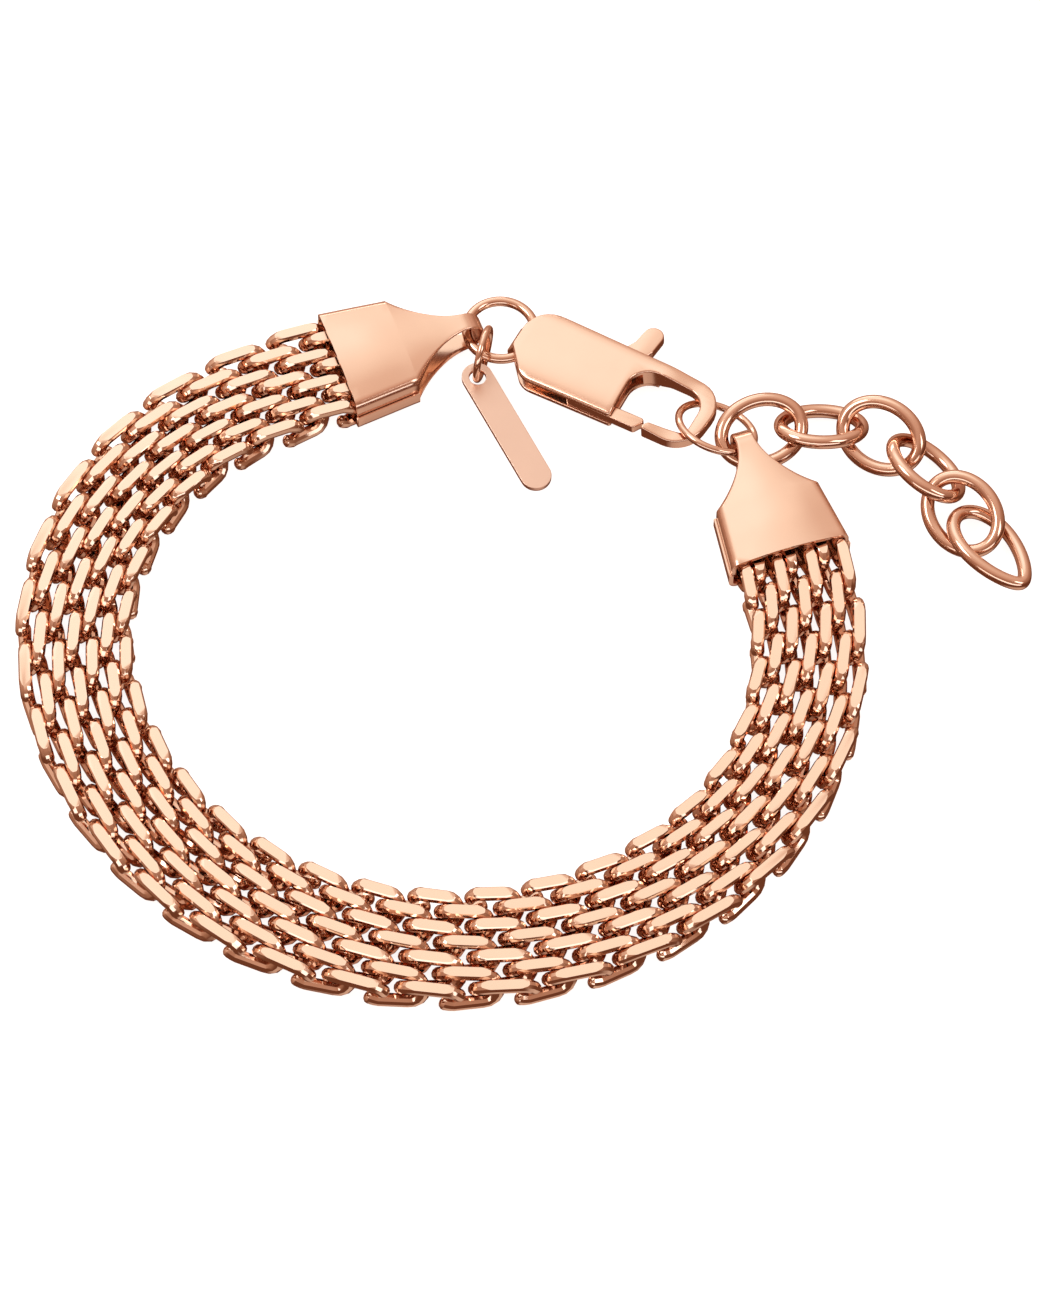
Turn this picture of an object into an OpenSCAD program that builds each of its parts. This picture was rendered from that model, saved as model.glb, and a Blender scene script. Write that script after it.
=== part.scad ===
// Woven mesh bracelet with folded end caps, a lever clasp, a tag and an extender chain.
// Millimetres, +Z up. The origin is on the floor, in the middle of the wrist opening.

/* [Band] */
// Width of the woven band
band_w = 9.2; // [8.8:0.1:9.5]
// Thickness of the woven band
band_t = 3.0; // [2.6:0.1:3.2]
// Rounding of the band's long edges
band_r = 0.9; // [0.4:0.1:1.1]

/* [End caps] */
// Thickness of the folded sheet
sheet_t = 0.35; // [0.3:0.05:0.4]
// Length of the boxed part of a cap, from its mouth to the shoulders
cap_body_l = 5.6; // [5:0.1:6]
// Half width of a cap at its shoulders
cap_shoulder = 4.4; // [4.2:0.05:4.6]
// Width of the neck where the sheet folds back
neck_w = 1.5; // [1.3:0.1:1.6]

/* [Clasp] */
// Thickness of the clasp over both of its plates
clasp_t = 2.2; // [2.1:0.05:2.4]
// Thickness of each plate
plate_t = 0.4; // [0.3:0.05:0.45]
// Thickness of the lever between the plates
lever_t = 0.9; // [0.8:0.05:0.95]
// Diameter of the pivot pin
pin_d = 1.0; // [0.8:0.1:1.2]

/* [Rings and links] */
// Wire of the clasp ring
clasp_wire = 0.82; // [0.75:0.01:0.85]
// Wire of the tag ring
tag_wire = 0.6; // [0.5:0.05:0.65]
// Wire of the catch ring
catch_wire = 0.62; // [0.55:0.01:0.65]
// Wire of the extender links
link_wire = 1.2; // [1.05:0.05:1.25]

/* [Tag] */
// Width of the tag
tag_w = 2.6; // [2.4:0.1:2.8]
// Length of the tag over its round ends
tag_l = 12.9; // [12:0.1:14]
// Thickness of the tag
tag_t = 0.5; // [0.4:0.05:0.6]

/* [Hidden] */
$fn = 48;
wire_fn = 40;
ring_fn = 80;
fit = 0.1; // play between a piece and its seat

// Middle line of the band from the left cap's mouth, round the wrist, to the right cap's mouth.
band_start = [-9.2, 24.8, 200]; // x, y, heading
band_arcs = [ // radius, angle
    [60, 8],
    [24.2, 79],
    [30.5, 110],
    [26, 71],
];
arcs = len(band_arcs);
tongue_l = 4.6; // how far the band reaches into a cap
mouth_gap = 0.2; // from the full band to the edge of a cap

// The cap is a box of sheet round the band's end, flared down to a neck that folds over the rings.
cap_h = band_t + 2 * sheet_t + 0.1;
cap_mouth = band_w / 2 + sheet_t + fit / 2; // half width at the mouth
flare_l = 6.4; // shoulders to the start of the fold's end
flare_power = 2.2;
flare_steps = 9;
fold_x = 11.05; // middle of the fold
fold_z = 1.65;
fold_r = 1.25; // inside radius of the fold
seam_z = 1.75; // height of the seam between the lips
seam_w = 0.15;

// Clasp, in its own frame: X from the tail to the hook, Y to the thumb tab's side.
clasp_at = [6.3, 24.75, 0.13, -28.5, -3.2]; // x, y, z, heading, pitch
clasp_plan = [ // x, y, corner radius
    [-1.85, 1.7, 0.8],
    [0.2, -0.8, 1.8],
    [8.6, -0.8, 0.25],
    [8.5, 4.5, 1.9],
    [15.0, 4.35, 1.8],
    [15.0, 0.35, 0.7],
    [11.85, -0.1, 0.15],
    [11.25, -0.9, 0.15],
    [15.9, -1.0, 2.6],
    [16.5, 5.6, 2.8],
    [-1.8, 6.2, 2.6],
];
lever_plan = [ // x, y, corner radius
    [4.4, -0.7, 0.3],
    [10.75, -0.8, 0.1],
    [11.5, 0.4, 0.12],
    [8.2, 0.4, 0.3],
    [8.2, 5.4, 0.3],
    [8.75, 6.6, 0.4],
    [9.0, 8.9, 0.83],
    [7.3, 8.9, 0.83],
    [6.95, 6.9, 0.5],
    [6.4, 5.9, 0.4],
    [4.4, 4.6, 0.6],
];
pivot = [6.4, 3.0];
lever_z = plate_t + fit;
hook_x = 9.2; // the hook is solid from here on
hook_end = 18;
hook_thin = 0.4; // how much the hook thins towards its end, above and below
plate_end = 10.4; // the lower plate ends here, under the root of the hook
tail_wall = [[-2.35, 1.6], [0.7, 2.5]]; // corner and size
far_wall = [[0.8, 5.5], [2.9, 0.4]];
near_lip = [[-0.6, -0.8], [9.1, 0.4]];
lip_z = lever_z + lever_t + fit; // underside of the near lip

// Rings and links: x, y, z of the centre, heading, tilt about the long axis, pitch of that axis
clasp_ring_at = [4.44, 29, 1.39, 8.8, 1.1, 1.5];
tag_ring_at = [2.99, 25.92, 2.46, 74, 92, -35.6];
catch_ring_at = [22.19, 19.08, 1.87, -24, -27.4, 7.3];
link_at = [
    [25.86, 18.59, 2.08, 19.4, 21.7, -4.2],
    [30.8, 19.21, 1.86, 7.4, -27.3, 7.2],
    [35.67, 18.25, 1.98, -34.4, 31.3, 1.5],
    [39.21, 15.07, 2.04, -52.2, -33, 0.5],
    [42.08, 10.91, 1.67, -55.2, 21.3, 8.8],
    [44.3, 7.9, 1.3, -55, -16.8, 0.8],
];
clasp_ring_d = 6.5;
tag_ring_d = 4.9;
catch_ring_d = 7.15;
link_l = 8.0;
link_b = 6.4;
drop_l = 9.2; // the last link, from its round end to its point
drop_b = 2.7; // half width that its sides would reach without the point
drop_point = 0.48; // how blunt the point is

tag_at = [1.9, 25.6, 1.0, -62, 4.4]; // x, y, z, heading, pitch, at the end with the hole
tag_hole_d = 1.4;
tag_hole_x = 1.35;

rose = [0.86, 0.62, 0.50];

// Where an arc of radius r and angle a ends, from the pose p (x, y, heading).
function arc_end(p, r, a) = [
    p.x - r * sin(p.z) + r * sin(p.z + a),
    p.y + r * cos(p.z) - r * cos(p.z + a),
    p.z + a
];
function arc_start(i) = i == 0
    ? band_start
    : arc_end(arc_start(i - 1), band_arcs[i - 1][0], band_arcs[i - 1][1]);

// The band's two ends, each with its heading out of the band and into its cap.
band_ends = [
    [band_start.x, band_start.y, band_start.z - 180],
    arc_start(arcs),
];

function unit(v) = v / norm(v);
function turn(d) = d > 180 ? d - 360 : d < -180 ? d + 360 : d;

// Points of one rounded corner of a table of x, y, radius.
function corner(t, i, steps = 6) =
    let (
        n = len(t),
        p = [t[i][0], t[i][1]],
        a = [t[(i + n - 1) % n][0], t[(i + n - 1) % n][1]],
        b = [t[(i + 1) % n][0], t[(i + 1) % n][1]],
        u = unit(a - p),
        v = unit(b - p),
        half = acos(u * v) / 2,
        r = t[i][2],
        c = p + unit(u + v) * r / sin(half),
        s = p + u * r / tan(half) - c,
        e = p + v * r / tan(half) - c,
        a0 = atan2(s.y, s.x),
        da = turn(atan2(e.y, e.x) - a0)
    )
    [for (k = [0:steps]) c + r * [cos(a0 + da * k / steps), sin(a0 + da * k / steps)]];

function rounded(t) = [for (i = [0:len(t) - 1]) each corner(t, i)];

// Half width of a cap at the distance x from its mouth.
function cap_half(x) = x <= cap_body_l
    ? cap_mouth + (cap_shoulder - cap_mouth) * x / cap_body_l
    : neck_w / 2 + (cap_shoulder - neck_w / 2)
        * pow(max(0, 1 - (x - cap_body_l) / flare_l), flare_power);

// Half width of the band's tongue at the distance x from the full band.
function tongue_half(x) = cap_half(x - mouth_gap) - sheet_t - fit;

module rounded_bar(w, t, r) {
    translate([-w / 2 + r, 0])
        square([w - 2 * r, t]);
    translate([-w / 2, r])
        square([w, t - 2 * r]);
    for (x = [-1, 1], z = [r, t - r])
        translate([x * (w / 2 - r), z])
            circle(r);
}

module along(p) {
    translate([p.x, p.y, 0])
        rotate([0, 0, p.z])
            children();
}

module placed(p) {
    translate([p[0], p[1], p[2]])
        rotate([p[4], p[5], p[3]])
            children();
}

module ring(d, wire) {
    rotate_extrude($fn = ring_fn)
        translate([(d - wire) / 2, 0])
            circle(d = wire, $fn = wire_fn);
}

// Middle line of a link at the angle t: an oval where point is 1, and pointed towards +X below that.
function link_line(t, long, short, point) =
    [long * cos(t), short * sin(t) * (point + (1 - point) * abs(sin(t / 2)))];

// Wire bent along that line, with its seams at equal steps of the angle.
module wire_link(long, short, point, wire, steps = 40, sides = 12) {
    step = 360 / steps;
    line = [for (i = [0:steps - 1]) link_line(i * step, long, short, point)];
    points = [
        for (i = [0:steps - 1])
            let (
                ahead = line[(i + 1) % steps] - line[(i + steps - 1) % steps],
                out = unit([ahead.y, -ahead.x])
            )
            for (k = [0:sides - 1])
                let (a = 360 * k / sides)
                [
                    line[i].x + wire / 2 * cos(a) * out.x,
                    line[i].y + wire / 2 * cos(a) * out.y,
                    wire / 2 * sin(a)
                ]
    ];
    faces = [
        for (i = [0:steps - 1], k = [0:sides - 1])
            let (
                a = i * sides + k,
                b = i * sides + (k + 1) % sides,
                c = (i + 1) % steps * sides + (k + 1) % sides,
                d = (i + 1) % steps * sides + k
            )
            each [[a, b, c], [a, c, d]]
    ];
    polyhedron(points, faces);
}

// Plan of a cap between the distances x0 and x1 from its mouth, inset by d at its sides.
module cap_plan(d, x0, x1) {
    flare = x1 > cap_body_l
        ? [for (k = [1:flare_steps]) cap_body_l + (x1 - cap_body_l) * k / flare_steps]
        : [];
    xs = concat([x0, cap_body_l], flare);
    polygon(concat(
        [for (x = xs) [x, d - cap_half(x)]],
        [for (k = [len(xs) - 1:-1:0]) [xs[k], cap_half(xs[k]) - d]]
    ));
}

// Side view of the folded sheet, inset by d from its outer face.
module cap_side(d, x0) {
    polygon([
        [x0, d],
        [cap_body_l, d],
        [fold_x, fold_z - fold_r - sheet_t + d],
        [fold_x, fold_z + fold_r + sheet_t - d],
        [cap_body_l, cap_h - d],
        [x0, cap_h - d],
    ]);
    translate([fold_x, fold_z])
        circle(fold_r + sheet_t - d);
}

module cap() {
    fold_end = fold_x + fold_r + sheet_t;
    intersection() {
        linear_extrude(cap_h)
            cap_plan(0, 0, fold_end);
        translate([0, cap_mouth, 0])
            rotate([90, 0, 0])
                linear_extrude(2 * cap_mouth)
                    difference() {
                        cap_side(0, 0);
                        cap_side(sheet_t, -1);
                    }
    }
    difference() {
        linear_extrude(cap_h)
            difference() {
                cap_plan(0, 0, cap_body_l);
                cap_plan(sheet_t, -1, cap_body_l);
            }
        translate([-1, -cap_mouth - 1, seam_z])
            cube([cap_body_l + 2, 2 * cap_mouth + 2, seam_w]);
    }
}

module band() {
    color(rose) {
        for (i = [0:arcs - 1])
            along(arc_start(i))
                translate([0, band_arcs[i][0], 0])
                    rotate([0, 0, -90])
                        rotate_extrude(angle = band_arcs[i][1], $fn = 180)
                            translate([band_arcs[i][0], 0])
                                rounded_bar(band_w, band_t, band_r);
        for (end = band_ends)
            along(end)
                translate([0, 0, sheet_t + fit])
                    linear_extrude(band_t - 2 * fit)
                        polygon([
                            [-0.05, -tongue_half(0)],
                            [tongue_l, -tongue_half(tongue_l)],
                            [tongue_l, tongue_half(tongue_l)],
                            [-0.05, tongue_half(0)],
                        ]);
    }
}

module cap_left() {
    color(rose)
        along(band_ends[0])
            translate([mouth_gap, 0, 0])
                cap();
}

module cap_right() {
    color(rose)
        along(band_ends[1])
            translate([mouth_gap, 0, 0])
                cap();
}

module clasp_ring() {
    color(rose)
        placed(clasp_ring_at)
            ring(clasp_ring_d, clasp_wire);
}

module tag_ring() {
    color(rose)
        placed(tag_ring_at)
            ring(tag_ring_d, tag_wire);
}

module tag() {
    color(rose)
        translate([tag_at[0], tag_at[1], tag_at[2]])
            rotate([0, tag_at[4], tag_at[3]])
                linear_extrude(tag_t)
                    difference() {
                        union() {
                            translate([tag_w / 2, -tag_w / 2])
                                square([tag_l - tag_w, tag_w]);
                            for (x = [tag_w / 2, tag_l - tag_w / 2])
                                translate([x, 0])
                                    circle(d = tag_w);
                        }
                        translate([tag_hole_x, 0])
                            circle(d = tag_hole_d);
                    }
}

module in_clasp() {
    translate([clasp_at[0], clasp_at[1], clasp_at[2]])
        rotate([0, clasp_at[4], clasp_at[3]])
            children();
}

// The clasp's plan between two heights, cut off at the distances x0 and x1.
module clasp_slab(z0, z1, x0, x1) {
    translate([0, 0, z0])
        linear_extrude(z1 - z0)
            intersection() {
                polygon(rounded(clasp_plan));
                translate([x0, -2])
                    square([x1 - x0, 10]);
            }
}

// The hook, with the side view that it thins to.
module hook() {
    side = [
        [hook_x, plate_t],
        [plate_end, plate_t],
        [plate_end + 1.2, plate_t + hook_thin],
        [hook_end, plate_t + hook_thin],
        [hook_end, clasp_t - hook_thin],
        [plate_end + 3.6, clasp_t - hook_thin],
        [plate_end + 0.6, clasp_t],
        [hook_x, clasp_t],
    ];
    intersection() {
        clasp_slab(0, clasp_t, hook_x, hook_end);
        translate([0, 8, 0])
            rotate([90, 0, 0])
                linear_extrude(10)
                    polygon(side);
    }
}

module clasp_body() {
    color(rose)
        in_clasp() {
            clasp_slab(0, plate_t, -3, plate_end);
            clasp_slab(clasp_t - plate_t, clasp_t, -3, hook_x + 1);
            hook();
            for (wall = [tail_wall, far_wall])
                translate([wall[0].x, wall[0].y, 0])
                    cube([wall[1].x, wall[1].y, clasp_t]);
            translate([near_lip[0].x, near_lip[0].y, lip_z])
                cube([near_lip[1].x, near_lip[1].y, clasp_t - lip_z]);
            translate([pivot.x, pivot.y, 0])
                cylinder(d = pin_d, h = clasp_t);
        }
}

module clasp_lever() {
    color(rose)
        in_clasp()
            translate([0, 0, lever_z])
                linear_extrude(lever_t)
                    difference() {
                        polygon(rounded(lever_plan));
                        translate(pivot)
                            circle(d = pin_d + 2 * fit);
                    }
}

module catch_ring() {
    color(rose)
        placed(catch_ring_at)
            ring(catch_ring_d, catch_wire);
}

module link(i) {
    color(rose)
        placed(link_at[i - 1])
            if (i < len(link_at))
                wire_link((link_l - link_wire) / 2, (link_b - link_wire) / 2, 1, link_wire);
            else
                wire_link((drop_l - link_wire) / 2, drop_b, drop_point, link_wire);
}

module link_1() link(1);
module link_2() link(2);
module link_3() link(3);
module link_4() link(4);
module link_5() link(5);
module link_6() link(6);

band();
cap_left();
cap_right();
clasp_ring();
tag_ring();
tag();
clasp_body();
clasp_lever();
catch_ring();
link_1();
link_2();
link_3();
link_4();
link_5();
link_6();
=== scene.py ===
# %% [markdown]
# # A woven mesh bracelet
#
# This file dresses the bracelet's solids for a picture. The real bracelet is stainless steel with
# a rose gold coloured coating: a wide band woven from flattened coils of wire, a folded cap on each
# end of it, a lever clasp on a jump ring, a small tag, and a short extender chain. The solids give
# every piece its place. Here the band gets its wire, the sheet pieces get their soft edges, and
# everything gets its polish.

import math

import bmesh
import bpy
from mathutils import Matrix, Vector


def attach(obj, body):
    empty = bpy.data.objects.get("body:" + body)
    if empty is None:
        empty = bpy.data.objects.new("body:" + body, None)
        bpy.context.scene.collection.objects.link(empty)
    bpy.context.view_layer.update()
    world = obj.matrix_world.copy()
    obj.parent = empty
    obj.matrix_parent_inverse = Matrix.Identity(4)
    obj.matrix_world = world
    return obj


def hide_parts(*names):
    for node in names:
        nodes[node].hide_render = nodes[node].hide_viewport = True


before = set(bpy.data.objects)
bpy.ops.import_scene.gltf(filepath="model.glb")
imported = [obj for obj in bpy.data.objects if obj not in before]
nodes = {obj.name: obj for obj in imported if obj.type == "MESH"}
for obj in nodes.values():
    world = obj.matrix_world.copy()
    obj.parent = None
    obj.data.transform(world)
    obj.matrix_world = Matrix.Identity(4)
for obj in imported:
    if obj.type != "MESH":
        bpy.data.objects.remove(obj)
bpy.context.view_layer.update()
MM = 0.001
print("pieces in the frame:", len(nodes))

# %% [markdown]
# ## Four tools for the workbench
#
# The pieces are all shaped with the same few bmesh operators, so these get short names first. One
# picks the vertices out of what an operator returns, one lists the edges at some vertices, one
# cuts everything with a plane, and one rounds edges off. A Python set would list the edges too,
# but in no fixed order. The bevel operator's own defaults differ from the editor's, so its
# settings are written out once. A cube tries them.

# %% Pick, cut and round
ON_PLANE = 1e-5   # points nearer to a cutting plane than this lie on it


def verts_in(geometry):
    return [item for item in geometry if isinstance(item, bmesh.types.BMVert)]


def edges_at(verts):
    """The edges that end at any of these vertices, each of them once."""
    return list(dict.fromkeys(edge for vert in verts for edge in vert.link_edges))


def cut(bm, at, normal, clear=False):
    """Cuts a whole bmesh with a plane, and clears what is beyond the plane if asked."""
    return bmesh.ops.bisect_plane(
        bm, geom=bm.verts[:] + bm.edges[:] + bm.faces[:], plane_co=at, plane_no=normal,
        clear_outer=clear, dist=ON_PLANE)


def round_edges(bm, edges, width, segments=2, clamp=True):
    bmesh.ops.bevel(
        bm, geom=edges, offset=width, offset_type="OFFSET", affect="EDGES", segments=segments,
        profile=0.5, clamp_overlap=clamp, material=-1)


trial = bmesh.new()
bmesh.ops.create_cube(trial, size=1.0)
round_edges(trial, edges_at(trial.verts), 0.1)
cut(trial, (0, 0, 0), (0, 0, 1), clear=True)
print("half of a rounded cube has", len(trial.verts), "points and", len(trial.faces), "faces")
trial.free()

# %% [markdown]
# ## From a bmesh to a piece
#
# Every new piece ends the same way: its faces are shaded smooth up to an angle, the bmesh is
# written to a mesh, and the object rides on a body of the frame. Edges whose faces meet at more
# than that angle are marked sharp, so a flat stays flat beside a round. A second helper joins two
# bmeshes, and goes through a mesh to do so, because one bmesh can't take another in directly.

# %% Finish a piece, or join two
def finish_piece(name, bm, body, crease):
    """Makes an object of a bmesh. Edges that turn by more than crease degrees stay sharp."""
    for face in bm.faces:
        face.smooth = True
    for edge in bm.edges:
        if len(edge.link_faces) == 2:
            edge.smooth = edge.calc_face_angle(0.0) < math.radians(crease)
    mesh = bpy.data.meshes.new(name)
    bm.to_mesh(mesh)
    bm.free()
    piece = bpy.data.objects.new(name, mesh)
    bpy.context.scene.collection.objects.link(piece)
    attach(piece, body)
    print(name, "has", len(mesh.polygons), "faces")
    return piece


def pour(target, source):
    """Adds one bmesh to another, and returns the vertices, edges and faces that came in."""
    counts = [len(target.verts), len(target.edges), len(target.faces)]
    mesh = bpy.data.meshes.new("poured")
    source.to_mesh(mesh)
    source.free()
    target.from_mesh(mesh)
    bpy.data.meshes.remove(mesh)
    return [item for kind, count in zip((target.verts, target.edges, target.faces), counts)
            for item in list(kind)[count:]]


# %% [markdown]
# ## The route of the band
#
# The band lies flat and bends sideways round the wrist, so its middle line is a plan of four arcs
# that run into each other. The same start and the same arcs made the solid. A function walks along
# them and gives the place and the heading at any distance from the left cap.

# %% The band's middle line
BAND_START = (-9.2, 24.8, 200.0)   # x, y and heading at the left cap's mouth
BAND_ARCS = [(60.0, 8.0), (24.2, 79.0), (30.5, 110.0), (26.0, 71.0)]   # radius, angle
BAND_LENGTH = sum(radius * math.radians(angle) for radius, angle in BAND_ARCS)
BAND_THICKNESS = 3.0


def band_point(s):
    """The place, the heading in radians and the bend's radius at s mm along the band."""
    x, y, heading = BAND_START[0], BAND_START[1], math.radians(BAND_START[2])
    for index, (radius, angle) in enumerate(BAND_ARCS):
        length = radius * math.radians(angle)
        here = s < length or index == len(BAND_ARCS) - 1
        turn = (s if here else length) / radius
        x += radius * (math.sin(heading + turn) - math.sin(heading))
        y += radius * (math.cos(heading) - math.cos(heading + turn))
        heading += turn
        if here:
            return Vector((x, y, 0.0)), heading, radius
        s -= length


print("band length", round(BAND_LENGTH, 1), "mm, ends at", band_point(BAND_LENGTH)[0][:2])

# %% [markdown]
# ## One coil of the weave
#
# The weave is made of flattened coils of wire laid across the band. Each coil runs over and under:
# a bar on top, a turn down, a bar below one column further out, a turn up, and so on. Its
# neighbours are the same coil moved by half a pitch and turned over, so that the turns hook
# through each other. The bars are then ground flat on both faces, which gives the long oval
# mirrors that the band is known for.
#
# A coil could be a curve with a round bevel, but the flats are made by cutting, so it is swept
# as a mesh: a circle is extruded edge by edge, and each new ring is moved and turned to the next
# place on the coil's path. A plane then cuts each face of the coil, and the cut is filled.

# %% Sizes of the coil
WIRE = 1.1             # wire before it is ground
WIRE_SIDES = 12
COLUMNS = 7
COLUMN_STEP = 1.35     # from one column of bars to the next
LEVEL = 1.15           # bars' height over and under the middle of the band
BAR_HALF = 1.0         # half of a bar's straight part
TURN_REACH = 1.1       # how far a turn bulges past the straight part
TURN_STEPS = 8
LEAN = 0.13            # how much of a column's step happens along a bar
FACE = 1.5             # height of the ground flats
TOP_END = (18, 40, 64)   # degrees at which a coil that ends on top is bent down
LOW_END = (14, 34)       # and one that ends below is bent up
print("columns of bars:", COLUMNS, "over", (COLUMNS - 1) * COLUMN_STEP, "mm")

# %% The path of a coil
def ease(x, start, end):
    """Goes smoothly from 0 at start to 1 at end."""
    share = min(1.0, max(0.0, (x - start) / (end - start)))
    return share * share * (3 - 2 * share)


def coil_path(top_first):
    """Points of one coil: u along the band, v across it, w up, in mm."""
    points = []
    lean = LEAN * COLUMN_STEP

    def place(column, along, angle, up, way):
        u = way * (BAR_HALF + TURN_REACH * math.sin(angle))
        v = (column - (COLUMNS - 1) / 2) * COLUMN_STEP + along
        points.append(Vector((u, v, up * LEVEL * math.cos(angle))))

    for column in range(COLUMNS):
        # A bar on top runs forward and a bar below runs back.
        up = 1 if (column % 2 == 0) == top_first else -1
        end_bend = TOP_END if up == 1 else LOW_END
        if column == 0:
            for degrees in reversed(end_bend):
                place(column, -lean, math.radians(degrees), up, -up)
        place(column, -lean / 2, 0.0, up, -up)
        place(column, lean / 2, 0.0, up, up)
        if column < COLUMNS - 1:
            for k in range(1, TURN_STEPS):
                along = lean / 2 + (COLUMN_STEP - lean) * ease(k, 0, TURN_STEPS)
                place(column, along, math.pi * k / TURN_STEPS, up, up)
        else:
            for degrees in end_bend:
                place(column, lean / 2, math.radians(degrees), up, up)
    return points


print("points on a coil:", len(coil_path(True)))

# %% Sweep a wire
END_ANGLES = (28, 56, 78)   # rings that round off a wire's end, by their angle on the dome
END_REACH = 0.8             # how far that dome reaches, in radii of the wire


def ring_edges(ring):
    return [e for e in edges_at(ring) if all(v in ring for v in e.verts)]


def sweep(bm, path, radius, sides):
    """Extrudes a circle along a path, ring by ring, and rounds both ends off."""
    back = (path[0] - path[1]).normalized()
    ahead = (path[-1] - path[-2]).normalized()
    domes = [(math.sin(math.radians(a)), math.cos(math.radians(a))) for a in END_ANGLES]
    stations = [(path[0] + back * radius * END_REACH * up, size) for up, size in reversed(domes)]
    stations += [(point, 1.0) for point in path]
    stations += [(path[-1] + ahead * radius * END_REACH * up, size) for up, size in domes]
    path = [point for point, _ in stations]
    last = len(path) - 1

    def tangent(i):
        return (path[min(i + 1, last)] - path[max(i - 1, 0)]).normalized()

    upright = Vector((0, 0, 1)) if abs(tangent(0).z) < 0.9 else Vector((0, 1, 0))
    side = tangent(0).cross(upright).normalized()
    ring = bmesh.ops.create_circle(bm, cap_ends=True, radius=radius, segments=sides)["verts"]
    pose = None
    for i, (point, size) in enumerate(stations):
        t = tangent(i)
        side = (side - t * side.dot(t)).normalized()
        turned = Matrix((side, t.cross(side), t)).transposed().to_4x4()
        new_pose = Matrix.Translation(point) @ turned @ Matrix.Scale(size, 4)
        if pose is None:
            bmesh.ops.transform(bm, matrix=new_pose, verts=ring)
        else:
            grown = bmesh.ops.extrude_edge_only(bm, edges=ring_edges(ring))
            ring = verts_in(grown["geom"])
            bmesh.ops.transform(bm, matrix=new_pose @ pose.inverted(), verts=ring)
        pose = new_pose
    bmesh.ops.contextual_create(bm, geom=ring_edges(ring))


# %% Grind a coil
def make_coil(top_first):
    bm = bmesh.new()
    sweep(bm, coil_path(top_first), WIRE / 2, WIRE_SIDES)
    for side in (1, -1):
        ground = cut(bm, (0, 0, side * FACE), (0, 0, side), clear=True)
        rim = [g for g in ground["geom_cut"] if isinstance(g, bmesh.types.BMEdge)]
        bmesh.ops.holes_fill(bm, edges=rim, sides=0)
    bmesh.ops.recalc_face_normals(bm, faces=bm.faces[:])
    open_edges = sum(1 for e in bm.edges if not e.is_manifold)
    print("coil:", len(bm.faces), "faces,", open_edges, "open edges")
    return bm


coils = {top_first: make_coil(top_first) for top_first in (True, False)}

# %% [markdown]
# ## The woven band
#
# The coils are set out along the middle line like the treads of a winding stair. Each one keeps
# straight bars, but the band bends on edge, so a coil's bars are a little shorter on the inside of
# the bend and longer on the outside. An Array modifier with a curve would bend the bars too, so
# the coils are copied one by one instead. Both kinds are put in one bmesh as patterns, copied
# there for each place, and taken out again at the end.

# %% Set the coils out along the band
PITCH = 5.16        # from one coil to the next of its kind
FIRST = 1.95        # place of the first coil that starts on top
PAIRS = 26
BAR_STRETCH = 0.8   # how much of the bend's change of length the bars take


def lay_coil(band, pattern, s):
    place, heading, radius = band_point(s)
    forward = Vector((math.cos(heading), math.sin(heading), 0.0))
    outward = Vector((math.sin(heading), -math.cos(heading), 0.0))
    for v in verts_in(bmesh.ops.duplicate(band, geom=pattern)["geom"]):
        stretch = 1 + BAR_STRETCH * v.co.y / radius
        at = place + forward * v.co.x * stretch + outward * v.co.y
        at.z = v.co.z + BAND_THICKNESS / 2
        v.co = at * MM


places = [(FIRST + PITCH * k, True) for k in range(PAIRS)]
places += [(FIRST + PITCH / 2 + PITCH * k, False) for k in range(-1, PAIRS)]
band = bmesh.new()
patterns = {kind: pour(band, coil) for kind, coil in coils.items()}
for s, kind in places:
    lay_coil(band, patterns[kind], s)
spent = [v for pattern in patterns.values() for v in verts_in(pattern)]
bmesh.ops.delete(band, geom=spent, context="VERTS")
bmesh.ops.recalc_face_normals(band, faces=band.faces[:])
weave = finish_piece("woven_band", band, "bracelet", crease=28.0)
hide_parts("band")
print("coils laid:", len(places))

# %% [markdown]
# ## The end caps
#
# Each cap is one strip of sheet. It starts over the band, narrows to a neck, folds back round the
# rings and returns under the band. Over the band its long edges are turned down and up, so that
# they meet in a seam along the side, with the lower lip just outside the upper one. It could be a
# box with rounded edges, but the fold and the seam would be missing. A grid has the same layout
# as the flat strip, so its points are bent to the cap's shape, and the Solidify and Bevel
# modifiers give it the sheet's thickness and its worn rims.

# %% Sizes of the strip
CAP_AT = {"cap_left": (-9.2, 24.8, 20.0), "cap_right": (27.97, 6.31, 108.0)}   # x, y, heading
MOUTH_GAP = 0.2        # from the full band to the cap's edge
SHEET = 0.35
BODY_LENGTH = 5.6      # the part that covers the band
CAP_HEIGHT = 3.8
MOUTH_HALF = 5.0       # half widths, at the mouth, at the shoulder and along the neck
SHOULDER_HALF = 4.4
NECK_HALF = 0.75
FLARE = 6.4            # length over which the shoulder narrows to the neck
FLARE_POWER = 2.2      # how hollow the flare's curve is
FOLD = (11.05, 1.65)   # middle of the fold
FOLD_OUTER = 1.6
EDGE_ROUND = 0.75      # round of the long edges over the band
EDGE_SOFT = 0.16       # what is left of it along the neck
ROUND_FADES = (BODY_LENGTH - 0.6, BODY_LENGTH + 3.2)
DOME = 0.40            # how far the top falls from its middle to its edges
SLOPE_FROM = 2.0       # from here the top falls gently towards the fold
SEAM = 1.82            # height of the seam along the side
SEAM_GAP = 0.04
LIP = 0.2              # how far the lower lip stands outside the upper one
print("a cap is", MOUTH_GAP + FOLD[0] + FOLD_OUTER, "mm long with its gap")

# %% Bend a point of the strip
FLAT_TO = 0.5   # shares of half the strip's width: flat to here,
BEND_TO = 0.8   # round the long edge to here, and then the wall


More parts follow.
